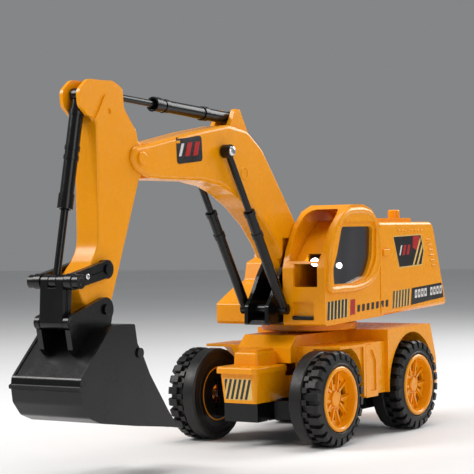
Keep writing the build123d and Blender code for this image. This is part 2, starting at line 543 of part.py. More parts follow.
with BuildPart() as house_floor:
    side_prism([(10.4, 70.3), (HOUSE_REAR - 2.8, 75.8), (HOUSE_REAR - 2.8, 77.2), (10.4, 71.9)],
               -HOUSE_HALF_W + WALL + 0.1, HOUSE_HALF_W - WALL - 0.6)
    block((-13.0, CAB_INNER_X + WALL + 0.2), (0, 53.6), (60, 90), mode=Mode.SUBTRACT)
    for x in (CAB_INNER_X - 0.2, -13.0):
        block((x, x + 2.2), (49.0, 72.3), (60, 90), mode=Mode.SUBTRACT)
    for x in (-26, 26):
        for y in (94, 136):
            upright(x, y, 74.5, 88.0, 2.0)
save(house_floor.part, "house_floor")

with BuildPart() as door_glass:
    side_prism([(12.5, 92.0), (38, 92.0), (58, 96.2), (65.6, 108), (67.2, 129.4), (65, 131), (25.0, 131),
                (17, 113), (12.5, 104)], CAB_OUT_X - WALL - 1.3, CAB_OUT_X - WALL - 0.1)
save(door_glass.part, "door_glass")

with BuildPart() as cab_bulkhead:
    side_prism([(16.0, 106.6), (20.0, 106.6), (31.0, 119.0), (46.0, 130.4), (56.5, 131.6), (67.5, 127.4),
                (71.6, 122.0), (71.6, 124.5), (68.5, 129.5), (57.0, 133.6), (45.0, 132.6), (29.4, 120.6)],
               CAB_INNER_X + WALL + 0.2, CAB_OUT_X - WALL - 1.5, radius=[0, 0, 6, 6, 4, 3, 0, 0, 3, 4, 6, 6])
    with Locations((23.5, FRONT_AXLE_Y + 20, 108.6)):
        Box(9.0, 16, 8.0, mode=Mode.SUBTRACT)
save(cab_bulkhead.part, "cab_bulkhead")

LAMP = (23.5, 24.5, 107.6)
with BuildPart() as lamp_holder:
    with Locations(Location((LAMP[0], FRONT_AXLE_Y + LAMP[1], LAMP[2]), (90, 0, 0))):
        Cylinder(4.0, 5.0)
        with Locations((0, 0, 1.2)):
            Cylinder(2.6, 6.0, mode=Mode.SUBTRACT)
save(lamp_holder.part, "lamp_holder")

with BuildPart() as led_lamp:
    with Locations(Location((LAMP[0], FRONT_AXLE_Y + LAMP[1] - 1.4, LAMP[2]), (90, 0, 0))):
        Cylinder(2.5, 3.0)
    with Locations((LAMP[0], FRONT_AXLE_Y + LAMP[1] - 2.9, LAMP[2])):
        Sphere(2.5)
save(led_lamp.part, "led_lamp")

with BuildPart() as driver_seat:
    side_prism([(30, 88), (46, 88), (50, 110), (46.5, 111), (43, 92.5), (30, 92.5)], 16, 33, radius=1.2)
    block((22, 27), (36, 41), (73.0, 88))
save(driver_seat.part, "driver_seat")

with BuildPart() as step_bar:
    block((17.2, 31.3), (4.9, 7.1), (73.6, 75.9))
    fillet(step_bar.edges().filter_by(Axis.X), 0.6)
save(step_bar.part, "step_bar")

with BuildPart() as circuit_board:
    block((-30, 30), (90, 140), (88.0, 89.6))
    for x, y, w, d, h in ((-14, 108, 10, 10, 2), (10, 116, 12, 8, 3), (20, 100, 6, 12, 7), (-20, 128, 8, 8, 9)):
        block((x - w / 2, x + w / 2), (y - d / 2, y + d / 2), (89.6, 89.6 + h))
save(circuit_board.part, "circuit_board")

# ---------------------------------------------------------------- boom bracket
PLATE_X = (6.0, 8.4)
with BuildPart() as boom_bracket:
    for side in (-1, 1):
        side_prism([(-8.5, 71.0), (46.6, 73.4), (46.6, 108), (33, 117.5), (16, 117.5), (12.0, 108), (5.0, 99.5), (-2.5, 88),
                    (-8.0, 82)], *sorted((side * PLATE_X[0], side * PLATE_X[1])), radius=[1, 1, 3, 8, 8, 6, 4, 4, 2])
    side_prism([(-8.5, 71.0), (46.6, 73.4), (46.6, 77.0), (6, 77.0), (-6.5, 73.6)], -PLATE_X[1], PLATE_X[1])
    side_prism([(44.2, 73.4), (46.6, 73.4), (46.6, 108), (44.2, 109)], -PLATE_X[1], PLATE_X[1])
    side_prism([(9.0, 71.6), (46.6, 73.0), (46.6, 75.0), (9.0, 73.6)], -10.8, CAB_INNER_X - 0.2)
    cross_rod(LIFT_FOOT, -PLATE_X[1], PLATE_X[1], 3.4)
    cross_rod(LIFT_FOOT, -20, 20, 1.6, mode=Mode.SUBTRACT)
    cross_rod(BOOM_FOOT, -20, 20, 2.5, mode=Mode.SUBTRACT)
save(boom_bracket.part, "boom_bracket")

with BuildPart() as bracket_pins:
    cross_rod(BOOM_FOOT, -PLATE_X[1], PLATE_X[1], 2.5)
    cross_rod(LIFT_FOOT, -LIFT_X - 3.2, LIFT_X + 3.2, 1.6)
save(bracket_pins.part, "bracket_pins")

# ---------------------------------------------------------------- boom
BOOM_OUTLINE = [(-139.8, 166.6), (-137.0, 172.4), (-124.0, 174.2), (-78, 183.4), (-48, 188.2), (-28, 185.6),
                (-12.6, 175.4), (14, 144.0), (37.5, 115.0), (35, 100), (22, 96.6), (12, 103.5), (1, 118.5), (-10, 129.5),
                (-26, 140.5), (-42, 148.6), (-56, 153.2), (-74, 155.6), (-110, 155.6), (-125, 156.4), (-136.0, 160.6)]
BOOM_RADII = [3, 4, 12, 60, 14, 14, 14, 60, 8, 8, 8, 8, 12, 14, 20, 16, 14, 20, 20, 16, 4]
BOOM_CAVITY = [(-114, 158.4), (-112, 174.4), (-78, 181.2), (-48, 185.8), (-29.2, 183.4), (-14.2, 173.6), (12.0, 142.8),
               (22.0, 129.6), (4.4, 119.4), (-8.6, 131.8), (-25, 142.8), (-41, 151.2), (-56, 155.8), (-74, 158.2)]

with BuildPart() as boom:
    side_prism(BOOM_OUTLINE, -BOOM_HALF_W, BOOM_HALF_W, radius=BOOM_RADII)
    fillet(boom.faces().filter_by(Axis.X).edges(), 2.4)
    # ears for the stick cylinder
    for side in (-1, 1):
        side_prism([(-46, 184), (-40.5, 192.0), (-37.6, 198.0), (-32.6, 198.0), (-28.4, 191.0), (-24.0, 184)],
                   *sorted((side * 4.2, side * 7.0)), radius=[0, 4, 2.4, 2.4, 6, 0])
    side_prism([(-48, 186.0), (-43, 187.6), (-28, 187.2), (-27, 184), (-40, 180)], -7, 7)
    cross_rod(STICK_CYL_FOOT, -4.2, 4.2, 6.0, mode=Mode.SUBTRACT)
    # fork for the stick
    side_prism([(-145, 150), (-145, 180), (-121, 180), (-121, 150)], -FORK_HALF_GAP, FORK_HALF_GAP,
               mode=Mode.SUBTRACT)
    # hollow middle
    side_prism(BOOM_CAVITY, -7.8, 7.8, mode=Mode.SUBTRACT)
    # the foot narrows to a tongue between the bracket's plates
    for side in (-1, 1):
        block(sorted((side * 5.6, side * 12)), (7.0, 47), (90, 122.6), mode=Mode.SUBTRACT)
    cross_rod(BOOM_FOOT, -20, 20, 2.5 + PIN_PLAY, mode=Mode.SUBTRACT)
    cross_rod(STICK_PIVOT, -20, 20, 2.2, mode=Mode.SUBTRACT)
    cross_rod(STICK_CYL_FOOT, -6.0, 6.0, 1.4, mode=Mode.SUBTRACT)
    cross_rod(LIFT_HEAD, -20, 20, 1.6, mode=Mode.SUBTRACT)

for side, keep in (("left", Keep.TOP), ("right", Keep.BOTTOM)):
    with BuildPart() as boom_half:
        add(boom.part)
        split(bisect_by=Plane.YZ, keep=keep)
    save(boom_half.part, f"boom_{side}")

with BuildPart() as stick_pin:
    cross_rod(STICK_PIVOT, -BOOM_HALF_W, BOOM_HALF_W, 2.2)
    for side in (-1, 1):
        cross_rod(STICK_PIVOT, *sorted((side * BOOM_HALF_W, side * (BOOM_HALF_W + 1.4))), 3.6)
    fillet(stick_pin.edges().filter_by(GeomType.CIRCLE).group_by(Axis.X)[-1], 0.8)
    fillet(stick_pin.edges().filter_by(GeomType.CIRCLE).group_by(Axis.X)[0], 0.8)
save(stick_pin.part, "stick_pin")

with BuildPart() as boom_pins:
    cross_rod(LIFT_HEAD, -LIFT_X - 2.7, LIFT_X + 2.7, 1.6)
    cross_rod(STICK_CYL_FOOT, -6.0, 6.0, 1.4)
save(boom_pins.part, "boom_pins")

with BuildPart() as lift_head_screws:
    for side in (-1, 1):
        face = side * (LIFT_X + 2.7)
        cross_rod(LIFT_HEAD, *sorted((face, face + side * 1.5)), 2.9)
        edge = lift_head_screws.edges().filter_by(GeomType.CIRCLE).group_by(Axis.X)[-1 if side > 0 else 0]
        fillet(edge, 0.7)
save(lift_head_screws.part, "lift_head_screws")


# ---------------------------------------------------------------- cylinders
def cylinder_tube(foot, head, x, half_eye, eye_r, pin_r, tube_r, bore_r, mouth, rings):
    """Tube of a dummy cylinder: eye at the foot, blind bore, rings given as (start, end, radius)."""
    cross_rod(foot, x - half_eye, x + half_eye, eye_r)
    barrel(foot, head, x, eye_r - 0.6, mouth, tube_r)
    for start, end, radius in rings:
        barrel(foot, head, x, start, end, radius)
    barrel(foot, head, x, eye_r + 3.0, mouth + 5, bore_r, mode=Mode.SUBTRACT)
    cross_rod(foot, x - 6, x + 6, pin_r + PIN_PLAY, mode=Mode.SUBTRACT)


def cylinder_rod(foot, head, x, half_eye, eye_r, pin_r, rod_r, inner_end):
    """Rod of a dummy cylinder: eye at the head, shank down to inner_end from the foot."""
    reach = hypot(head[0] - foot[0], head[1] - foot[1])
    cross_rod(head, x - half_eye, x + half_eye, eye_r)
    barrel(foot, head, x, inner_end, reach - eye_r + 0.6, rod_r)
    cross_rod(head, x - 6, x + 6, pin_r + PIN_PLAY, mode=Mode.SUBTRACT)


with BuildPart() as lift_cylinder_tubes:
    for side in (-1, 1):
        cylinder_tube(LIFT_FOOT, LIFT_HEAD, side * LIFT_X, 2.6, 3.2, 1.6, 3.0, 2.5, 68.6,
                      [(51.0, 54.0, 3.5), (66.0, 68.6, 3.5)])
save(lift_cylinder_tubes.part, "lift_cylinder_tubes")

with BuildPart() as lift_cylinder_rods:
    for side in (-1, 1):
        cylinder_rod(LIFT_FOOT, LIFT_HEAD, side * LIFT_X, 2.4, 3.9, 1.6, 2.0, 26.0)
save(lift_cylinder_rods.part, "lift_cylinder_rods")

with BuildPart() as stick_cylinder_tube:
    cylinder_tube(STICK_CYL_FOOT, STICK_CYL_HEAD, 0, 3.6, 4.0, 1.4, 3.6, 3.1, 74.0,
                  [(24.0, 28.0, 4.2), (62.0, 65.0, 4.0), (69.0, 74.0, 4.2)])
save(stick_cylinder_tube.part, "stick_cylinder_tube")

with BuildPart() as stick_cylinder_rod:
    cylinder_rod(STICK_CYL_FOOT, STICK_CYL_HEAD, 0, 2.4, 3.4, 1.4, 2.0, 26.0)
save(stick_cylinder_rod.part, "stick_cylinder_rod")

with BuildPart() as bucket_cylinder_tube:
    cylinder_tube(BUCKET_CYL_FOOT, CROSS_PIN, 0, 3.0, 3.8, 1.4, 3.6, 3.1, 60.0,
                  [(8.0, 11.0, 4.1), (27.0, 29.4, 4.0), (32.0, 34.4, 4.0), (52.0, 60.0, 4.1)])
save(bucket_cylinder_tube.part, "bucket_cylinder_tube")

with BuildPart() as bucket_cylinder_rod:
    cylinder_rod(BUCKET_CYL_FOOT, CROSS_PIN, 0, 2.2, 3.6, 1.6, 2.0, 24.0)
save(bucket_cylinder_rod.part, "bucket_cylinder_rod")

# ---------------------------------------------------------------- stick
STICK_OUTLINE = [(-166.3, 186.5), (-166.3, 119.8), (-172.0, 112.2), (-181.5, 104.0), (-182.4, 98.0), (-179.0, 92.0),
                 (-170.5, 83.5), (-160.5, 83.5), (-157.2, 88.5), (-147.8, 111.9), (-130.6, 155.0), (-124.2, 161.0),
                 (-124.2, 171.5), (-130.6, 175.5), (-132.2, 181.5), (-141.8, 192.6), (-142.6, 203.0), (-151.0, 206.4),
                 (-162.0, 206.0), (-171.0, 206.2), (-178.8, 200.0), (-178.0, 192.0), (-172.0, 187.4)]
STICK_RADII = [4, 16, 10, 4, 3, 3, 2, 2, 4, 30, 4, 4, 4, 3, 4, 5, 4, 8, 8, 7, 5, 4, 3]

with BuildPart() as stick:
    side_prism(STICK_OUTLINE, -STICK_HALF_W, STICK_HALF_W, radius=STICK_RADII)
    cross_rod(BUCKET_PIVOT, -STICK_HALF_W, STICK_HALF_W, 7.1)
    fillet(stick.faces().filter_by(Axis.X).edges(), 1.1)
    # the head is thinner than the panel that runs up each cheek to a peak
    for side in (-1, 1):
        side_prism([(-190, 184.0), (-168.4, 184.0), (-164.2, 189.4), (-158.4, 198.6), (-155.6, 198.6), (-144.0, 189.6),
                    (-128.0, 178.0), (-120, 186), (-120, 214), (-190, 214)],
                   *sorted((side * HEAD_HALF_W, side * 12)), radius=[0, 3, 6, 1.2, 1.2, 12, 0, 0, 0, 0], mode=Mode.SUBTRACT)
    # slots between the ears for the two cylinders
    side_prism([(-185, 184.0), (-166.5, 184.0), (-164.9, 190.0), (-162.8, 194.0), (-162.8, 210), (-185, 210)], -4.4, 4.4,
               mode=Mode.SUBTRACT)
    side_prism([(-156.6, 190.0), (-135, 190.0), (-135, 210), (-156.6, 210)], -4.4, 4.4, mode=Mode.SUBTRACT)
    # hollow middle
    side_prism([(-164.4, 181.5), (-164.4, 122), (-160.0, 118), (-148.6, 118), (-133.4, 157), (-142, 180), (-158, 181.5)],
               -5.6, 5.6, mode=Mode.SUBTRACT)
    for at, radius in ((STICK_PIVOT, 2.2 + PIN_PLAY), (ROCKER_PIVOT, 2.0), (BUCKET_PIVOT, 2.0)):
        cross_rod(at, -20, 20, radius, mode=Mode.SUBTRACT)
    for at in (STICK_CYL_HEAD, BUCKET_CYL_FOOT):
        cross_rod(at, -HEAD_HALF_W + 0.8, HEAD_HALF_W - 0.8, 1.4, mode=Mode.SUBTRACT)
    for side in (-1, 1):
        cross_rod((-155.5, 190.2), *sorted((side * 6.8, side * 9)), 1.5, mode=Mode.SUBTRACT)

for side, keep in (("left", Keep.TOP), ("right", Keep.BOTTOM)):
    with BuildPart() as stick_half:
        add(stick.part)
        split(bisect_by=Plane.YZ, keep=keep)
    save(stick_half.part, f"stick_{side}")

ARM_X = (7.8, 11.4)
with BuildPart() as stick_pins:
    cross_rod(STICK_CYL_HEAD, -HEAD_HALF_W + 0.8, HEAD_HALF_W - 0.8, 1.4)
    cross_rod(BUCKET_CYL_FOOT, -HEAD_HALF_W + 0.8, HEAD_HALF_W - 0.8, 1.4)
    for at in (ROCKER_PIVOT, BUCKET_PIVOT):
        cross_rod(at, -ARM_X[1] - 0.2, ARM_X[1] + 0.2, 2.0)
        for side in (-1, 1):
            cross_rod(at, *sorted((side * (ARM_X[1] + 0.2), side * (ARM_X[1] + 1.0))), 2.7)
save(stick_pins.part, "stick_pins")

# ---------------------------------------------------------------- bucket linkage
with BuildPart() as rocker_arms:
    for side in (-1, 1):
        x0, x1 = sorted((side * ARM_X[0], side * ARM_X[1]))
        strap(ROCKER_PIVOT, CROSS_PIN, x0, x1, 4.4, 3.9)
        cross_rod(CROSS_PIN, *sorted((side * ARM_X[1], side * 16.3)), 3.6)
        cross_rod(CROSS_PIN, *sorted((side * ARM_X[0], side * (ARM_X[1] + 0.9))), 4.2)
        cross_rod(ROCKER_PIVOT, *sorted((side * ARM_X[0], side * ARM_X[1])), 4.9)
    cross_rod(ROCKER_PIVOT, -20, 20, 2.0 + PIN_PLAY, mode=Mode.SUBTRACT)
    cross_rod(CROSS_PIN, -20, 20, 1.6, mode=Mode.SUBTRACT)
save(rocker_arms.part, "rocker_arms")

with BuildPart() as cross_pin:
    cross_rod(CROSS_PIN, -16.3, 16.3, 1.6)
save(cross_pin.part, "cross_pin")

with BuildPart() as rocker_screws:
    for side in (-1, 1):
        along = 0.60
        at = (ROCKER_PIVOT[0] + ROCKER_REACH[0] * along, ROCKER_PIVOT[1] + ROCKER_REACH[1] * along)
        cross_rod(at, *sorted((side * ARM_X[1], side * (ARM_X[1] + 0.6))), 1.5)
save(rocker_screws.part, "rocker_screws")

with BuildPart() as bucket_link:
    strap(CROSS_PIN, LINK_PIN, -7.4, 7.4, 3.7, 3.4)
    cross_rod(CROSS_PIN, -2.6, 2.6, 4.8, mode=Mode.SUBTRACT)
    cross_rod(CROSS_PIN, -20, 20, 1.6 + PIN_PLAY, mode=Mode.SUBTRACT)
    cross_rod(LINK_PIN, -20, 20, 1.6 + PIN_PLAY, mode=Mode.SUBTRACT)
save(bucket_link.part, "bucket_link")

with BuildPart() as link_pin:
    cross_rod(LINK_PIN, -ARM_X[1] + 0.4, ARM_X[1] - 0.4, 1.6)
save(link_pin.part, "link_pin")

# ---------------------------------------------------------------- bucket
BUCKET_OUTLINE = [(-156.6, 80.2), (-175.4, 80.6), (-201.0, 55.2), (-201.6, 50.6), (-200.4, 42.6), (-194.6, 35.6),
                  (-186.0, 32.2), (-157.6, 28.0), (-122.0, 23.6), (-122.4, 25.6), (-129.4, 33.8), (-144.2, 53.2),
                  (-150.6, 64.6), (-154.6, 70.0)]
BUCKET_SPACE = [(-159.0, 84), (-159.0, 78.0), (-174.4, 78.0), (-198.8, 54.0), (-199.2, 50.0), (-198.0, 43.6),
                (-193.4, 37.8), (-185.4, 34.4), (-157.2, 30.2), (-110.0, 24.4), (-100, 84)]
with BuildPart() as bucket:
    side_prism(BUCKET_OUTLINE, -BUCKET_HALF_W, BUCKET_HALF_W, radius=[1, 1, 3, 3, 4, 5, 4, 20, 0, 0, 20, 10, 3, 3])
    # open bowl between the two cheeks
    side_prism(BUCKET_SPACE, -BUCKET_HALF_W + 2.0, BUCKET_HALF_W - 2.0, radius=[0, 1, 1, 3, 3, 4, 4, 4, 20, 0, 0],
               mode=Mode.SUBTRACT)
    block((-BUCKET_HALF_W + 2.0, BUCKET_HALF_W - 2.0), (-160, -150), (78.0, 82), mode=Mode.SUBTRACT)
    side_prism([(-159.4, 80.4), (-159.4, 77.0), (-175.0, 77.4), (-176.0, 80.6)], -BUCKET_HALF_W, BUCKET_HALF_W)
    # sunk panel between the cheek rims
    side_prism([(-170.0, 82.0), (-176.6, 78.6), (-199.6, 55.9), (-205.0, 60.0), (-178.0, 86.0)],
               -BUCKET_HALF_W + 1.6, BUCKET_HALF_W - 1.6, mode=Mode.SUBTRACT)
    # rib across the heel
    side_prism([(-200.0, 52.2), (-202.8, 51.4), (-202.8, 49.6), (-200.0, 48.6)], -BUCKET_HALF_W - 0.3,
               BUCKET_HALF_W + 0.3)
    # ears
    for side in (-1, 1):
        x0, x1 = sorted((side * ARM_X[0], side * (ARM_X[1] - 0.4)))
        strap(BUCKET_PIVOT, LINK_PIN, x0, x1, 6.2, 3.6)
        side_prism([(-168.5, 84.0), (-160.5, 84.5), (-162.0, 78.5), (-178.0, 77.5), (-189.4, 66.0), (-192.6, 69.0),
                    (-194.6, 79.0), (-190.5, 80.0)], x0, x1)
        # boss on each cheek's front edge
        cross_rod((-153.2, 65.2), *sorted((side * (BUCKET_HALF_W - 2.0), side * (BUCKET_HALF_W + 1.0))), 2.6)
    # teeth
    for k in range(5):
        x = (k - 2) * 9.4
        side_prism([(-130.0, 24.8), (-114.6, 22.2), (-114.6, 22.9), (-124.0, 27.0), (-130.0, 28.0)], x - 2.6, x + 2.6)
    cross_rod(BUCKET_PIVOT, -20, 20, 2.0 + PIN_PLAY, mode=Mode.SUBTRACT)
    cross_rod(LINK_PIN, -20, 20, 1.6, mode=Mode.SUBTRACT)
save(bucket.part, "bucket")
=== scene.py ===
import json
import math

import bmesh
import bpy
from mathutils import Matrix, Vector
from mathutils.bvhtree import BVHTree


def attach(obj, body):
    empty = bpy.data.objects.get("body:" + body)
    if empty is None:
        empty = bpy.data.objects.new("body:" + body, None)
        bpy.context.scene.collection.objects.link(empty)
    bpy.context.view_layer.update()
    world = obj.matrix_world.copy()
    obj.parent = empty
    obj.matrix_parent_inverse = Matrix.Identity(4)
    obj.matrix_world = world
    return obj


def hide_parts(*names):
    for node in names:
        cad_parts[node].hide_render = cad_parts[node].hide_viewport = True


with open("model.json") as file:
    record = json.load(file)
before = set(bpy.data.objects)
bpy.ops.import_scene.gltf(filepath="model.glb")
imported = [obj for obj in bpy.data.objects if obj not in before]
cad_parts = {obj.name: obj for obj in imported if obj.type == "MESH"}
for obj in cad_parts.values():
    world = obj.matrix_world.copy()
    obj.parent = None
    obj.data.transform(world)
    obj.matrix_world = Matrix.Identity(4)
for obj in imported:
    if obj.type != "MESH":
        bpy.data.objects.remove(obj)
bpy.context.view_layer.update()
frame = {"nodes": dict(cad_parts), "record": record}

NODES = frame["nodes"]
MM = 0.001
FRONT_AXLE_Y = 18.75


def at(x, y, z):
    """A point in metres from millimetres, y counted back from the front axle."""
    return Vector((x * MM, (y + FRONT_AXLE_Y) * MM, z * MM))


# ---------------------------------------------------------------- materials
class Graph:
    """A small helper for node materials."""

    def __init__(self, name):
        self.mat = bpy.data.materials.new(name)
        self.mat.use_nodes = True
        self.tree = self.mat.node_tree
        self.bsdf = self.tree.nodes["Principled BSDF"]
        self.coords = self.add("ShaderNodeTexCoord").outputs["Object"]

    def add(self, kind, **values):
        node = self.tree.nodes.new(kind)
        for key, value in values.items():
            setattr(node, key, value)
        return node

    def link(self, a, b):
        self.tree.links.new(a, b)

    def noise(self, scale, detail=4.0, rough=0.6, stretch=(1, 1, 1)):
        mapping = self.add("ShaderNodeMapping")
        mapping.inputs["Scale"].default_value = stretch
        self.link(self.coords, mapping.inputs["Vector"])
        node = self.add("ShaderNodeTexNoise")
        node.inputs["Scale"].default_value = scale
        node.inputs["Detail"].default_value = detail
        node.inputs["Roughness"].default_value = rough
        self.link(mapping.outputs["Vector"], node.inputs["Vector"])
        return node.outputs["Fac"]

    def ramp(self, fac, stops):
        node = self.add("ShaderNodeValToRGB")
        ramp = node.color_ramp
        while len(ramp.elements) < len(stops):
            ramp.elements.new(0.5)
        for element, (place, colour) in zip(ramp.elements, stops):
            element.position = place
            element.color = (*colour, 1.0)
        self.link(fac, node.inputs["Fac"])
        return node.outputs["Color"]

    def spread(self, fac, low, high, start=0.3, end=0.7):
        node = self.add("ShaderNodeMapRange")
        for key, value in (("From Min", start), ("From Max", end), ("To Min", low), ("To Max", high)):
            node.inputs[key].default_value = value
        self.link(fac, node.inputs["Value"])
        return node.outputs["Result"]

    def bumps(self, *layers):
        last = None
        for height, strength, distance in layers:
            node = self.add("ShaderNodeBump")
            node.inputs["Strength"].default_value = strength
            node.inputs["Distance"].default_value = distance
            self.link(height, node.inputs["Height"])
            if last is not None:
                self.link(last, node.inputs["Normal"])
            last = node.outputs["Normal"]
        self.link(last, self.bsdf.inputs["Normal"])

    def set(self, **values):
        for key, value in values.items():
            self.bsdf.inputs[key.replace("_", " ")].default_value = value
        return self


def plastic(name, colour, tint, rough, coat=0.0, subsurface=0.0, grain=0.05, specular=0.42):
    g = Graph(name)
    base = g.ramp(g.noise(14.0, 3.0), [(0.3, tint), (0.72, colour)])
    g.link(base, g.bsdf.inputs["Base Color"])
    g.link(g.spread(g.noise(110.0, 6.0), rough - 0.03, rough + 0.05), g.bsdf.inputs["Roughness"])
    g.bumps((g.noise(1100.0, 3.0), grain, 0.0002), (g.noise(24.0, 1.0), 0.015, 0.001))
    g.set(Coat_Weight=coat, Coat_Roughness=0.12, IOR=1.5, Specular_IOR_Level=specular)
    if subsurface:
        g.set(Subsurface_Weight=subsurface, Subsurface_Scale=0.004)
        g.bsdf.inputs["Subsurface Radius"].default_value = (1.0, 0.45, 0.1)
    return g.mat


YELLOW = plastic("yellow_plastic", (0.86, 0.322, 0.0008), (0.84, 0.308, 0.0008), 0.26, coat=0.06,
                 subsurface=0.05, specular=0.30)
BLACK = plastic("black_plastic", (0.0042, 0.0042, 0.0048), (0.0025, 0.0025, 0.0028), 0.24, coat=0.0,
                specular=0.32)
NYLON = plastic("nylon", (0.82, 0.80, 0.74), (0.74, 0.72, 0.66), 0.42, subsurface=0.1)
BOARD = plastic("board", (0.02, 0.20, 0.07), (0.015, 0.14, 0.05), 0.35)
CELL = plastic("cell_sleeve", (0.05, 0.09, 0.20), (0.03, 0.05, 0.14), 0.3, coat=0.5)
FILM_DARK = plastic("film_dark", (0.010, 0.008, 0.010), (0.006, 0.005, 0.006), 0.22, coat=0.12, grain=0.02)
FILM_PALE = plastic("film_pale", (0.78, 0.52, 0.16), (0.70, 0.45, 0.12), 0.25, coat=0.12, grain=0.02)
FILM_RED = plastic("film_red", (0.45, 0.012, 0.010), (0.36, 0.008, 0.008), 0.24, coat=0.12, grain=0.02)
FILM_WHITE = plastic("film_white", (0.72, 0.70, 0.68), (0.62, 0.60, 0.58), 0.25, coat=0.12, grain=0.02)
FILM_OLIVE = plastic("film_olive", (0.10, 0.045, 0.006), (0.07, 0.03, 0.004), 0.25, coat=0.12, grain=0.02)
FILMS = [FILM_DARK, FILM_PALE, FILM_RED, FILM_WHITE, FILM_OLIVE]
DARK, PALE, RED, WHITE, OLIVE = range(5)


def rubber():
    g = Graph("tyre_rubber")
    base = g.ramp(g.noise(60.0, 6.0), [(0.3, (0.004, 0.004, 0.004)), (0.7, (0.009, 0.009, 0.0085))])
    g.link(base, g.bsdf.inputs["Base Color"])
    g.link(g.spread(g.noise(200.0, 6.0), 0.36, 0.52), g.bsdf.inputs["Roughness"])
    g.bumps((g.noise(1400.0, 3.0), 0.12, 0.0002))
    g.set(Specular_IOR_Level=0.34)
    return g.mat


def metal(name, colour, rough):
    g = Graph(name)
    tint = tuple(c * 0.82 for c in colour)
    base = g.ramp(g.noise(300.0, 4.0, stretch=(1, 1, 8)), [(0.3, tint), (0.7, colour)])
    g.link(base, g.bsdf.inputs["Base Color"])
    g.link(g.spread(g.noise(400.0, 5.0), rough - 0.06, rough + 0.1), g.bsdf.inputs["Roughness"])
    g.bumps((g.noise(1500.0, 2.0, stretch=(1, 1, 6)), 0.06, 0.0001))
    g.set(Metallic=1.0)
    return g.mat


RUBBER = rubber()
STEEL = metal("steel", (0.72, 0.72, 0.74), 0.24)


def smoked():
    g = Graph("smoked_pane")
    streaks = g.noise(18.0, 3.0, stretch=(1, 3, 0.4))
    base = g.ramp(streaks, [(0.35, (0.010, 0.010, 0.014)), (0.7, (0.035, 0.033, 0.042))])
    g.link(base, g.bsdf.inputs["Base Color"])
    g.link(g.spread(g.noise(40.0, 4.0), 0.05, 0.12), g.bsdf.inputs["Roughness"])
    g.bumps((g.noise(25.0, 2.0), 0.08, 0.001))
    g.set(Coat_Weight=1.0, Coat_Roughness=0.04)
    return g.mat


SMOKED = smoked()


def lamp_glow():
    g = Graph("lamp_lens")
    base = g.ramp(g.noise(300.0, 2.0), [(0.3, (0.85, 0.88, 0.92)), (0.7, (0.97, 0.98, 1.0))])
    g.link(base, g.bsdf.inputs["Base Color"])
    g.link(g.spread(g.noise(500.0, 2.0), 0.06, 0.14), g.bsdf.inputs["Roughness"])
    g.set(Emission_Color=(1.0, 0.98, 0.94, 1.0), Emission_Strength=6.0)
    return g.mat


LAMP = lamp_glow()

SLOT_MATERIAL = {
    "yellow": YELLOW, "black": BLACK, "tyre_rubber": RUBBER, "steel": STEEL, "white_nylon": NYLON,
    "smoked_pane": SMOKED, "cell_wrap": CELL, "board_green": BOARD, "lamp_clear": LAMP,
}
node_slot = {row["node"]: row["material_slot"] for row in frame["record"]["subparts"]}


def coat_with(obj, material):
    obj.data.materials.clear()
    obj.data.materials.append(material)


def soften(obj, width, segments=3, angle=32):
    """Rounds the moulded edges of a carried-over piece."""
    weld = obj.modifiers.new("weld", "WELD")
    weld.merge_threshold = 0.00001
    bevel = obj.modifiers.new("bevel", "BEVEL")
    bevel.width = width * MM
    bevel.segments = segments
    bevel.limit_method = "ANGLE"
    bevel.angle_limit = math.radians(angle)
    bevel.use_clamp_overlap = True
    bevel.harden_normals = True
    bevel.miter_outer = "MITER_ARC"
    even = obj.modifiers.new("even_normals", "WEIGHTED_NORMAL")
    even.mode = "FACE_AREA_WITH_ANGLE"
    even.weight = 60
    for poly in obj.data.polygons:
        poly.use_smooth = True


EDGE = {
    "chassis_cover": 0.7, "house_shell": 0.6, "boom_left": 0.3, "boom_right": 0.3, "stick_left": 0.3,
    "stick_right": 0.3, "bucket": 0.35, "turntable": 0.3, "boom_bracket": 0.4,
}
for name, node in NODES.items():
    coat_with(node, SLOT_MATERIAL[node_slot[name]])
    soften(node, EDGE.get(name, 0.22))

# ---------------------------------------------------------------- mesh helpers
SHARP = math.radians(34)


def piece_from(bm, name, body, materials, bevel=0.0, segments=2, stands_for=()):
    """Turns a bmesh in metres into a piece that rides on a body."""
    bmesh.ops.remove_doubles(bm, verts=bm.verts, dist=1e-7)
    bmesh.ops.recalc_face_normals(bm, faces=bm.faces)
    mesh = bpy.data.meshes.new(name)
    bm.to_mesh(mesh)
    bm.free()
    for poly in mesh.polygons:
        poly.use_smooth = True
    mesh.set_sharp_from_angle(angle=SHARP)
    obj = bpy.data.objects.new(name, mesh)
    bpy.context.scene.collection.objects.link(obj)
    for material in materials:
        mesh.materials.append(material)
    if bevel:
        mod = obj.modifiers.new("bevel", "BEVEL")
        mod.width = bevel * MM
        mod.segments = segments
        mod.limit_method = "ANGLE"
        mod.angle_limit = math.radians(30)
        mod.harden_normals = True
    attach(obj, body)
    if stands_for:
        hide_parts(*stands_for)
    return obj


def prism(bm, ring, step, index=0):
    """Closed prism from a ring of points and the vector to its other end."""
    near = [bm.verts.new(p) for p in ring]
    far = [bm.verts.new(Vector(p) + step) for p in ring]
    faces = [bm.faces.new(near), bm.faces.new(list(reversed(far)))]
    for a in range(len(ring)):
        b = (a + 1) % len(ring)
        faces.append(bm.faces.new((near[b], near[a], far[a], far[b])))
    for face in faces:
        face.material_index = index


def turned_about(centre, sign):
    """Maps (x, radius, angle) round an X axis through centre to a point; sign -1 points x the other way."""
    def place(x, radius, angle):
        across = Vector((sign * x, radius * math.cos(angle), radius * math.sin(angle)))
        return centre + across * MM
    return place


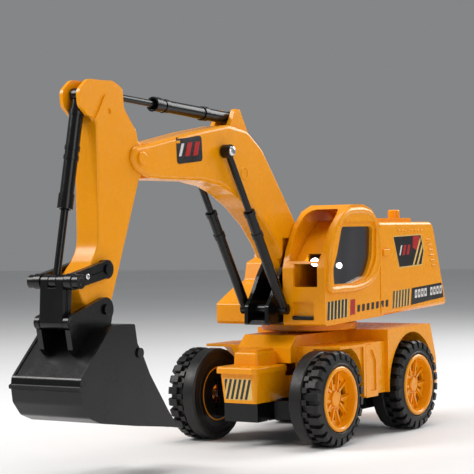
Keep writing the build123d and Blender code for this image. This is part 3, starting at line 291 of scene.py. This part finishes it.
def lathe(bm, profile, place, count=64, twist=0.0):
    """Turned surface about an X axis, its profile a closed ring of (x, radius)."""
    rings = []
    for x, radius in profile:
        rings.append([bm.verts.new(place(x, radius, twist + 2 * math.pi * k / count)) for k in range(count)])
    for a in range(len(rings)):
        one, two = rings[a], rings[(a + 1) % len(rings)]
        for k in range(count):
            m = (k + 1) % count
            bm.faces.new((one[k], one[m], two[m], two[k]))


# ---------------------------------------------------------------- tyres
AXLE_HEIGHT = 28.0
WHEELBASE = 98.0
LUGS = 24
BAND = [(33.1, 26.6), (34.0, 27.8), (41.2, 27.8), (41.8, 27.0), (41.8, 24.4), (33.1, 24.4)]
CARCASS = [(34.6, 5.6), (34.5, 14.6), (33.8, 17.2), (33.3, 20.4), (33.3, 23.4), (33.8, 25.0), (41.9, 25.6),
           (50.4, 25.6), (51.9, 24.3), (52.5, 22.4), (52.6, 21.0), (52.95, 20.7), (52.95, 20.1), (52.4, 19.6),
           (51.3, 19.3), (51.3, 17.6), (36.4, 17.6), (35.6, 16.6), (35.4, 5.6)]
SMALL_LUG = [(42.2, 25.0), (42.2, 27.6), (45.5, 27.7), (45.5, 25.0)]
LARGE_LUG = [(45.8, 25.0), (45.8, 27.9), (50.9, 27.9), (52.6, 26.7), (53.0, 23.3), (51.0, 23.0)]
INNER_RIDGE = [(33.5, 20.0), (33.1, 20.3), (33.1, 21.0), (33.5, 21.3), (34.2, 21.2), (34.2, 20.1)]


def tyre(end, side, sign, axle_y):
    """One tyre with its two rows of lugs, in place of the plain CAD one."""
    place = turned_about(at(0, axle_y, AXLE_HEIGHT), sign)
    bm = bmesh.new()
    lathe(bm, CARCASS, place, 96)
    lathe(bm, INNER_RIDGE, place, 96)
    lathe(bm, BAND, place, LUGS, twist=math.pi / LUGS)
    pitch = 2 * math.pi / LUGS
    for k in range(LUGS):
        for shape, half, shift in ((SMALL_LUG, 1.55, 0.0), (LARGE_LUG, 2.15, 0.5)):
            angle = (k + shift) * pitch
            along = Vector((0, -math.sin(angle), math.cos(angle))) * half * MM
            ring = [place(x, r, angle) - along for x, r in shape]
            prism(bm, ring, 2 * along)
    body = f"wheel_front_{side}" if end == "front" else "rear_wheels"
    piece_from(bm, f"{end}_{side}_tread", body,
               [RUBBER], bevel=0.32, stands_for=(f"{end}_{side}_tyre",))


for side, sign in (("left", 1), ("right", -1)):
    tyre("front", side, sign, 0.0)
    tyre("rear", side, sign, WHEELBASE)


# ---------------------------------------------------------------- stickers
def surface(node):
    """A search tree of a CAD node's faces."""
    obj = NODES[node]
    verts = [obj.matrix_world @ v.co for v in obj.data.vertices]
    return BVHTree.FromPolygons(verts, [tuple(p.vertices) for p in obj.data.polygons])


TREES = {}


def land(node, axis, sign, a, b):
    """The point where a ray along an axis meets a node; a and b are the two other coordinates."""
    if node not in TREES:
        TREES[node] = surface(node)
    if axis == "X":
        start, ray = at(sign * 80, a, b), Vector((-sign, 0, 0))
    else:
        start, ray = at(a, sign * 260, b), Vector((0, -sign, 0))
    return TREES[node].ray_cast(start, ray)[0]


def sticker(name, node, body, axis, sign, shapes):
    """Printed film: shapes are (film, height above the surface, outline)."""
    bm = bmesh.new()
    out = Vector((sign, 0, 0)) if axis == "X" else Vector((0, sign, 0))
    for film, height, outline in shapes:
        hits = [land(node, axis, sign, a, b) for a, b in outline]
        prism(bm, [h - out * 0.02 * MM for h in hits], out * (height + 0.02) * MM, film)
    return piece_from(bm, name, body, FILMS)


def slanted(start, width, low, high, lean):
    """Leaning bar: its low and high edges are functions of the distance along."""
    return [(start, low(start)), (start + width, low(start + width)),
            (start + width + lean, high(start + width)), (start + lean, high(start))]


def band_low(y):
    return 72.9 + 0.042 * y


def band_high(y):
    return 83.9 + 0.040 * y


def side_band():
    shapes = [(PALE, 0.10, [(7.6, band_low(7)), (31.8, band_low(32)), (33.0, band_high(33)),
                            (7.6, band_high(7))])]
    for k in range(6):
        shapes.append((DARK, 0.18, slanted(7.8 + 4.1 * k, 2.5, band_low, band_high, 1.0)))
    # generic mark in place of a name: one red block and a row of plain dashes
    shapes.append((RED, 0.14, [(35.4, 75.0), (41.0, 75.3), (41.6, 84.6), (36.0, 84.4)]))
    wide, tall = 3.2, 4.2
    for k in range(7):
        y = 44.0 + 5.9 * k
        low = band_low(y)
        shapes.append((DARK, 0.14, [(y, low + 1.8), (y + wide, low + 2.0), (y + wide + 0.5, low + 2.0 + tall),
                                    (y + 0.5, low + 1.8 + tall)]))
    shapes.append((PALE, 0.10, [(88.0, band_low(88)), (111.6, band_low(111)), (113.4, band_high(113)),
                                (89.6, band_high(89))]))
    for k in range(6):
        shapes.append((OLIVE, 0.18, slanted(88.4 + 4.0 * k, 2.2, band_low, band_high, 1.6)))
    shapes.append((DARK, 0.12, [(113.6, band_low(113)), (160.8, band_low(161) + 1.2),
                                (157.6, band_high(161) + 0.3), (115.4, band_high(115))]))
    for group in (119.0, 141.0):
        for k in range(4):
            y = group + 4.5 * k
            low = band_low(y) + 4.0
            shapes.append((WHITE, 0.20, [(y, low), (y + 3.2, low + 0.1), (y + 3.6, low + 5.4),
                                         (y + 0.4, low + 5.3)]))
            shapes.append((DARK, 0.26, [(y + 1.1, low + 1.6), (y + 2.3, low + 1.6), (y + 2.5, low + 3.7),
                                        (y + 1.3, low + 3.7)]))
    return shapes


def engine_window():
    return [
        (PALE, 0.08, [(90.7, 122.5), (129.6, 123.4), (133.6, 112.8), (130.2, 102.9), (98.4, 101.7)]),
        (DARK, 0.14, [(91.5, 121.8), (128.8, 122.7), (132.7, 112.8), (129.5, 103.7), (98.9, 102.6)]),
        (RED, 0.20, [(118.0, 122.1), (127.0, 122.3), (123.4, 112.4), (117.2, 114.8)]),
        (WHITE, 0.20, [(98.8, 110.0), (100.6, 110.1), (103.0, 116.4), (101.2, 116.3)]),
        (RED, 0.20, [(102.8, 110.0), (106.2, 110.2), (108.6, 116.6), (105.2, 116.4)]),
        (RED, 0.20, [(108.4, 110.2), (111.8, 110.4), (114.2, 116.8), (110.8, 116.6)]),
        (PALE, 0.22, [(117.0, 103.4), (119.2, 103.5), (128.6, 119.2), (128.0, 121.4)]),
        (PALE, 0.22, [(122.6, 103.6), (124.8, 103.7), (131.2, 114.4), (130.4, 116.8)]),
    ]


def rounded(corners, radius=1.6, steps=4):
    """Corner points of a four-sided outline with its corners rounded."""
    out = []
    count = len(corners)
    for k in range(count):
        here = Vector(corners[k])
        before = (Vector(corners[k - 1]) - here).normalized() * radius
        after = (Vector(corners[(k + 1) % count]) - here).normalized() * radius
        for n in range(steps + 1):
            t = n / steps
            out.append(tuple(here + before * (1 - t) ** 2 + after * t ** 2))
    return out


def boom_square():
    return [
        (DARK, 0.15, rounded([(-99.6, 164.1), (-75.3, 166.6), (-76.1, 180.7), (-100.2, 178.8)], 2.4)),
        (WHITE, 0.22, [(-98.0, 168.4), (-95.6, 168.7), (-92.8, 175.8), (-95.2, 175.6)]),
        (RED, 0.22, [(-92.4, 168.6), (-87.8, 169.0), (-85.0, 176.8), (-89.6, 176.4)]),
        (RED, 0.22, [(-84.8, 169.2), (-80.2, 169.6), (-77.6, 177.4), (-82.2, 177.0)]),
    ]


def nose_stripes():
    low, high, lean = 28.4, 40.2, 3.8
    shapes = [(PALE, 0.10, [(-9.4, 28.0), (9.6, 28.0), (9.6, 40.6), (-9.4, 40.6)])]
    for k in range(5):
        x = -9.2 + 3.3 * k
        shapes.append((DARK, 0.18, [(x, low), (x + 1.7, low), (x + 1.7 + lean, high), (x + lean, high)]))
    shapes.append((DARK, 0.18, [(-9.2, 33.4), (-7.0, high), (-8.7, high), (-9.2, 38.6)]))
    return shapes


for side, sign in (("left", 1), ("right", -1)):
    sticker(f"{side}_band_sticker", "house_shell", "house", "X", sign, side_band())
    sticker(f"{side}_engine_sticker", "house_shell", "house", "X", sign, engine_window())
    sticker(f"{side}_boom_sticker", f"boom_{side}", "boom", "X", sign, boom_square())
sticker("nose_sticker", "chassis_cover", "chassis", "Y", -1, nose_stripes())

# ---------------------------------------------------------------- small moulded details
ROOT = 0.3      # how far a raised shape reaches into the wall under it


def nubs(name, node, body, boxes, height):
    """Low moulded blocks on both sides; boxes are (y0, y1, z0, z1)."""
    bm = bmesh.new()
    for sign in (1, -1):
        for y0, y1, z0, z1 in boxes:
            hits = [land(node, "X", sign, y, z) for y, z in ((y0, z0), (y1, z0), (y1, z1), (y0, z1))]
            out = Vector((sign, 0, 0))
            prism(bm, [h - out * ROOT * MM for h in hits], out * (height + ROOT) * MM)
    return piece_from(bm, name, body, [YELLOW], bevel=0.35, segments=3)


RIBS = [(136.4 + 1.5 * k, 142.4 + 1.5 * k, 119.2 - 3.4 * k, 120.2 - 3.4 * k) for k in range(6)]
DOTS = [(98.0 + 4.4 * k, 99.8 + 4.4 * k, 125.3, 126.3) for k in range(8)]
nubs("engine_cover_ribs", "house_shell", "house", RIBS + DOTS, 0.55)
nubs("door_latch_block", "house_shell", "house", [(76.6, 84.4, 110.2, 114.2)], 1.3)


def rear_ribs():
    """Low level ribs across the back wall of the house."""
    bm = bmesh.new()
    for k in range(5):
        low = 92.0 + 5.2 * k
        for start, end in ((-28.0, -4.0), (4.0, 28.0)):
            corners = ((start, low), (end, low), (end, low + 1.7), (start, low + 1.7))
            hits = [land("house_shell", "Y", 1, x, z) for x, z in corners]
            prism(bm, [h - Vector((0, ROOT * MM, 0)) for h in hits], Vector((0, 0.95 * MM, 0)))
    return piece_from(bm, "rear_wall_ribs", "house", [YELLOW], bevel=0.35, segments=3)


rear_ribs()


def ring_mark(name, sign, y, z, radius):
    """Round raised line on the boom's cheek."""
    centre = land(f"boom_{'left' if sign > 0 else 'right'}", "X", sign, y, z)
    profile = [(-0.2, radius - 0.7), (0.28, radius - 0.5), (0.28, radius + 0.1), (-0.2, radius + 0.4)]
    bm = bmesh.new()
    lathe(bm, profile, turned_about(centre, sign), 48)
    return piece_from(bm, name, "boom", [YELLOW])


ring_mark("left_boom_ring", 1, -33.0, 160.7, 3.6)
ring_mark("right_boom_ring", -1, -33.0, 160.7, 3.6)


def screw_head(bm, centre, sign, radius, height):
    """Pan head with a cross recess, its axis along X."""
    place = turned_about(centre, sign)
    arm = radius * 0.56
    half = radius * 0.13
    depth = height * 0.55
    edge = [(0.0, radius), (height * 0.45, radius), (height * 0.8, radius * 0.86), (height, radius * 0.62)]
    count = 48
    rings = [[bm.verts.new(place(x, r, 2 * math.pi * k / count)) for k in range(count)] for x, r in edge]
    for one, two in zip(rings, rings[1:]):
        for k in range(count):
            m = (k + 1) % count
            bm.faces.new((one[k], one[m], two[m], two[k]))
    bm.faces.new(rings[0])
    cross = [(arm, -half), (arm, half), (half, half), (half, arm), (-half, arm), (-half, half), (-arm, half),
             (-arm, -half), (-half, -half), (-half, -arm), (half, -arm), (half, -half)]
    top = [bm.verts.new(centre + Vector((sign * height * MM, a * MM, b * MM))) for a, b in cross]
    low = [bm.verts.new(centre + Vector((sign * (height - depth) * MM, a * MM, b * MM))) for a, b in cross]
    for k in range(12):
        m = (k + 1) % 12
        bm.faces.new((top[k], top[m], low[m], low[k]))
    bm.faces.new(low)
    # flat crown between the rim circle and the cross
    for k in range(12):
        m = (k + 1) % 12
        first, last = count * k // 12, count * (k + 1) // 12
        fan = [rings[-1][n % count] for n in range(first, last + 1)]
        bm.faces.new([top[k]] + fan + [top[m]])


bm = bmesh.new()
for sign in (1, -1):
    screw_head(bm, at(sign * 16.1, -55.5, 172.5), sign, 2.9, 1.6)
piece_from(bm, "lift_screw_heads", "boom", [STEEL], stands_for=("lift_head_screws",))
bm = bmesh.new()
for sign in (1, -1):
    screw_head(bm, at(sign * 11.4, -180.5, 105.2), sign, 1.5, 0.7)
piece_from(bm, "rocker_screw_heads", "rocker", [STEEL], stands_for=("rocker_screws",))

# round moulded rim around the door's arch
RIM_POINTS = [(10.6, 91.8), (10.6, 102.0), (11.2, 112.0), (15.6, 122.6), (23.2, 132.0), (32.0, 137.2),
              (42.0, 138.4), (54.0, 138.3), (63.0, 135.6), (69.2, 128.0), (71.6, 117.0), (71.0, 107.0),
              (65.4, 98.8), (55.0, 93.6), (42.0, 91.4), (26.0, 91.2)]
RIM_SECTION = [(-2.3, -2.0), (-2.2, 0.2), (-1.6, 1.3), (-0.6, 1.9), (0.6, 1.9), (1.6, 1.3), (2.2, 0.2),
               (2.3, -2.0)]


def smooth_loop(points, steps=7):
    """Catmull-Rom curve through a closed ring of points."""
    out = []
    count = len(points)
    for k in range(count):
        a, b, c, d = (Vector(points[(k + n) % count]) for n in (-1, 0, 1, 2))
        for n in range(steps):
            t = n / steps
            out.append(0.5 * (2 * b + (c - a) * t + (2 * a - 5 * b + 4 * c - d) * t ** 2
                              + (3 * b - a - 3 * c + d) * t ** 3))
    return out


def door_rim():
    path = smooth_loop(RIM_POINTS)
    bm = bmesh.new()
    rings = []
    for k, here in enumerate(path):
        ahead = (path[(k + 1) % len(path)] - path[k - 1]).normalized()
        side = Vector((-ahead.y, ahead.x))
        ring = []
        for across, lift in RIM_SECTION:
            spot = here + side * across
            ring.append(bm.verts.new(at(40.0 + lift, spot.x, spot.y)))
        rings.append(ring)
    for k, one in enumerate(rings):
        two = rings[(k + 1) % len(rings)]
        for n in range(len(one)):
            m = (n + 1) % len(one)
            bm.faces.new((one[n], one[m], two[m], two[n]))
    return piece_from(bm, "door_arch_rim", "house", [YELLOW])


door_rim()

# lens of the cab lamp at the front edge of the door window
bm = bmesh.new()
LENS = [(0.0, 1.7), (0.5, 1.7), (1.0, 1.4), (1.4, 0.8), (1.5, 0.05), (-0.6, 0.05), (-0.6, 1.5)]
lathe(bm, LENS, turned_about(at(38.0, 26.0, 105.4), 1), 40)
piece_from(bm, "door_lamp_lens", "house", [LAMP])

# ---------------------------------------------------------------- floor, light, camera
bpy.ops.mesh.primitive_plane_add(size=8.0, location=(0, 0, -0.0001))
floor = bpy.context.object
floor.name = "floor"
g = Graph("floor")
pale = g.ramp(g.noise(3.0, 2.0), [(0.3, (0.80, 0.80, 0.80)), (0.7, (0.84, 0.84, 0.84))])
g.link(pale, g.bsdf.inputs["Base Color"])
g.set(Roughness=0.55)
floor.data.materials.append(g.mat)

world = bpy.data.worlds.new("studio")
bpy.context.scene.world = world
world.use_nodes = True
world.node_tree.nodes["Background"].inputs["Color"].default_value = (0.86, 0.88, 0.90, 1.0)
world.node_tree.nodes["Background"].inputs["Strength"].default_value = 0.27


def area(name, place, target, size, power, colour=(1, 1, 1)):
    data = bpy.data.lights.new(name, "AREA")
    data.shape = "RECTANGLE"
    data.size, data.size_y = size
    data.energy = power
    data.color = colour
    lamp = bpy.data.objects.new(name, data)
    bpy.context.scene.collection.objects.link(lamp)
    lamp.location = place
    lamp.rotation_euler = (Vector(target) - Vector(place)).to_track_quat("-Z", "Y").to_euler()
    return lamp


area("key", (-0.75, -0.75, 0.95), (0.0, 0.0, 0.1), (0.55, 0.55), 12.5, (1.0, 0.985, 0.96))
area("top", (0.05, 0.10, 1.25), (0.0, 0.0, 0.1), (0.8, 0.8), 9.0)
area("fill", (0.95, -0.45, 0.42), (0.0, 0.0, 0.1), (0.5, 0.6), 2.6, (1.0, 0.98, 0.95))
area("back", (0.35, 0.95, 0.6), (0.0, 0.0, 0.1), (0.7, 0.5), 7.0)

CAMERA_RIGHT = Vector((0.83122, 0.55565, -0.01811))
CAMERA_UP = Vector((0.01447, 0.01093, 0.99984))
CAMERA_AHEAD = Vector((-0.55576, 0.83134, -0.00105))
camera_data = bpy.data.cameras.new("camera")
camera = bpy.data.objects.new("camera", camera_data)
bpy.context.scene.collection.objects.link(camera)
camera_data.sensor_width = 36.0
camera_data.lens = 121.6
camera_data.clip_start = 0.05
turn = Matrix((CAMERA_RIGHT, CAMERA_UP, -CAMERA_AHEAD)).transposed().to_4x4()
camera.matrix_world = Matrix.Translation(at(522.599, -809.090, 124.683)) @ turn
bpy.context.scene.camera = camera
bpy.context.scene.view_settings.view_transform = "Standard"
